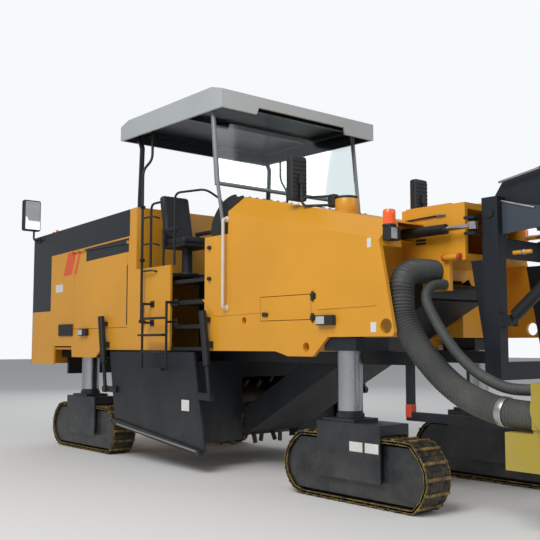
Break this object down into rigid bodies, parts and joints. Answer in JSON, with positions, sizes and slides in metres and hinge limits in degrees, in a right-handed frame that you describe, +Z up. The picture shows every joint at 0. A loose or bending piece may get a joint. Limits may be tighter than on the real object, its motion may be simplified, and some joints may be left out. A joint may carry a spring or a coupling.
{
  "type": "cold planer milling machine",
  "caption": "Front-loading cold planer on four steered tracks: milling drum in its housing, side plates, canopy over the platform, and a discharge conveyor that slews and lifts.",
  "frame": {"origin": "middle of the machine's box, on the ground", "axes": "+X forward along the conveyor, +Y left, +Z up"},
  "size_m": [14.422, 2.98, 4.54],
  "materials": {
    "yellow_paint": "gloss",
    "dark_paint": "satin",
    "black_paint": "satin",
    "black_plastic": "matte",
    "cast_grey": "cast",
    "seat_vinyl": "satin",
    "canopy_grey": "satin",
    "window_glass": "clear",
    "hose_rubber": "matte",
    "lamp_lens": "gloss",
    "worn_steel": "worn",
    "belt_rubber": "matte",
    "rod_chrome": "polished",
    "hood_blue": "satin",
    "leg_grey": "satin",
    "track_steel": "worn"
  },
  "bodies": {
    "chassis": {"main_frame": "dark_paint", "drum_housing": "dark_paint", "front_body": "yellow_paint", "console_cover": "black_plastic", "rear_body": "yellow_paint", "rear_grille": "black_paint", "engine_block": "cast_grey", "platform": "black_paint", "seats": "seat_vinyl", "consoles": "black_plastic", "ladders": "black_paint", "handrails": "black_paint", "canopy_roof": "canopy_grey", "canopy_frame": "canopy_grey", "windshield": "window_glass", "primary_conveyor": "black_paint", "front_head": "yellow_paint", "dust_hose": "hose_rubber", "small_hose": "hose_rubber", "duct_fan": "yellow_paint", "mirrors": "black_plastic", "lamps": "lamp_lens", "plate_cylinders": "black_paint"},
    "drum": {"milling_drum": "worn_steel"},
    "front_track_r": {"leg_fr": "leg_grey", "track_fr": "track_steel"},
    "front_track_l": {"leg_fl": "leg_grey", "track_fl": "track_steel"},
    "rear_track_r": {"leg_rr": "leg_grey", "track_rr": "track_steel"},
    "rear_track_l": {"leg_rl": "leg_grey", "track_rl": "track_steel"},
    "console": {"slew_console": "dark_paint"},
    "conveyor": {"conveyor_frame": "dark_paint", "conveyor_belt": "belt_rubber"},
    "lift_barrel_pair": {"lift_barrels": "black_paint"},
    "lift_rod_pair": {"lift_rods": "rod_chrome"},
    "slew_barrel_right": {"slew_barrel_r": "black_paint"},
    "slew_barrel_left": {"slew_barrel_l": "black_paint"},
    "slew_rod_right": {"slew_rod_r": "rod_chrome"},
    "slew_rod_left": {"slew_rod_l": "rod_chrome"},
    "plate_right": {"side_plate_r": "dark_paint"},
    "plate_left": {"side_plate_l": "dark_paint"},
    "scraper": {"scraper_gate": "worn_steel"},
    "engine_door_right": {"engine_door_r": "yellow_paint"},
    "engine_door_left": {"engine_door_l": "yellow_paint"},
    "hood": {"hood_lid": "hood_blue"},
    "tool_door_right": {"tool_door_r": "yellow_paint"},
    "tool_door_left": {"tool_door_l": "yellow_paint"}
  },
  "joints": [
    {"name": "drum_spin", "type": "hinge", "parent": "chassis", "child": "drum", "pos_m": [-3.271, 0, 0.68], "axis": [0, 1, 0], "continuous": true},
    {"name": "front_steer", "type": "hinge", "parent": "chassis", "child": "front_track_r", "pos_m": [-0.071, -1.025, 1], "axis": [0, 0, 1], "range_deg": [-20, 20]},
    {"name": "front_steer_left", "type": "hinge", "parent": "chassis", "child": "front_track_l", "pos_m": [-0.071, 1.025, 1], "axis": [0, 0, 1], "range_deg": [-20, 20]},
    {"name": "rear_steer", "type": "hinge", "parent": "chassis", "child": "rear_track_r", "pos_m": [-5.421, -1.025, 1], "axis": [0, 0, 1], "range_deg": [-20, 20]},
    {"name": "rear_steer_left", "type": "hinge", "parent": "chassis", "child": "rear_track_l", "pos_m": [-5.421, 1.025, 1], "axis": [0, 0, 1], "range_deg": [-20, 20]},
    {"name": "conveyor_slew", "type": "hinge", "parent": "chassis", "child": "console", "pos_m": [0.929, 0, 2.575], "axis": [0, 0, 1], "range_deg": [-25, 25]},
    {"name": "conveyor_lift", "type": "hinge", "parent": "console", "child": "conveyor", "pos_m": [1.254, 0, 2.7], "axis": [0, -1, 0], "range_deg": [-10, 15]},
    {"name": "lift_barrel_swing", "type": "hinge", "parent": "console", "child": "lift_barrel_pair", "pos_m": [1.399, 0, 1.713], "axis": [0, -1, 0], "range_deg": [-7, 10.5]},
    {"name": "lift_rod_slide", "type": "slide", "parent": "lift_barrel_pair", "child": "lift_rod_pair", "axis": [0.7679, 0, 0.6406], "range_m": [-0.15, 0.22]},
    {"name": "slew_barrel_swing_r", "type": "hinge", "parent": "chassis", "child": "slew_barrel_right", "pos_m": [0.229, -0.6, 2.595], "axis": [0, 0, 1], "range_deg": [-5, 5]},
    {"name": "slew_barrel_swing_l", "type": "hinge", "parent": "chassis", "child": "slew_barrel_left", "pos_m": [0.229, 0.6, 2.595], "axis": [0, 0, 1], "range_deg": [-5, 5]},
    {"name": "slew_rod_slide_r", "type": "slide", "parent": "slew_barrel_right", "child": "slew_rod_right", "axis": [1, 0, 0], "range_m": [-0.262, 0.262]},
    {"name": "slew_rod_slide_l", "type": "slide", "parent": "slew_barrel_left", "child": "slew_rod_left", "axis": [1, 0, 0], "range_m": [-0.262, 0.262]},
    {"name": "plate_lift_r", "type": "slide", "parent": "chassis", "child": "plate_right", "axis": [-0.1564, 0, 0.9877], "range_m": [-0.15, 0.3]},
    {"name": "plate_lift_l", "type": "slide", "parent": "chassis", "child": "plate_left", "axis": [-0.1564, 0, 0.9877], "range_m": [-0.15, 0.3]},
    {"name": "scraper_lift", "type": "slide", "parent": "chassis", "child": "scraper", "axis": [0, 0, 1], "range_m": [0, 0.25]},
    {"name": "engine_door_swing_r", "type": "hinge", "parent": "chassis", "child": "engine_door_right", "pos_m": [-4.881, -1.218, 2.882], "axis": [-1, 0, 0], "range_deg": [0, 80]},
    {"name": "engine_door_swing_l", "type": "hinge", "parent": "chassis", "child": "engine_door_left", "pos_m": [-4.881, 1.218, 2.882], "axis": [1, 0, 0], "range_deg": [0, 80]},
    {"name": "hood_lift", "type": "hinge", "parent": "chassis", "child": "hood", "pos_m": [-6.353, 0, 3.27347], "axis": [0, -1, 0], "range_deg": [0, 40]},
    {"name": "tool_door_swing_r", "type": "hinge", "parent": "chassis", "child": "tool_door_right", "pos_m": [-0.453, -1.205, 1.88], "axis": [0, 0, 1], "range_deg": [0, 110]},
    {"name": "tool_door_swing_l", "type": "hinge", "parent": "chassis", "child": "tool_door_left", "pos_m": [-0.453, 1.205, 1.88], "axis": [0, 0, -1], "range_deg": [0, 110]}
  ],
  "couplings": [
    {"joint": "front_steer_left", "follows": "front_steer", "ratio": 1},
    {"joint": "rear_steer_left", "follows": "rear_steer", "ratio": 1},
    {"joint": "lift_barrel_swing", "follows": "conveyor_lift", "ratio": 0.68695},
    {"joint": "lift_rod_slide", "follows": "conveyor_lift", "m_per_rad": 0.83242},
    {"joint": "slew_barrel_swing_r", "follows": "conveyor_slew", "ratio": 0.17243},
    {"joint": "slew_barrel_swing_l", "follows": "conveyor_slew", "ratio": 0.17243},
    {"joint": "slew_rod_slide_r", "follows": "conveyor_slew", "m_per_rad": 0.58972},
    {"joint": "slew_rod_slide_l", "follows": "conveyor_slew", "m_per_rad": -0.58972}
  ]
}
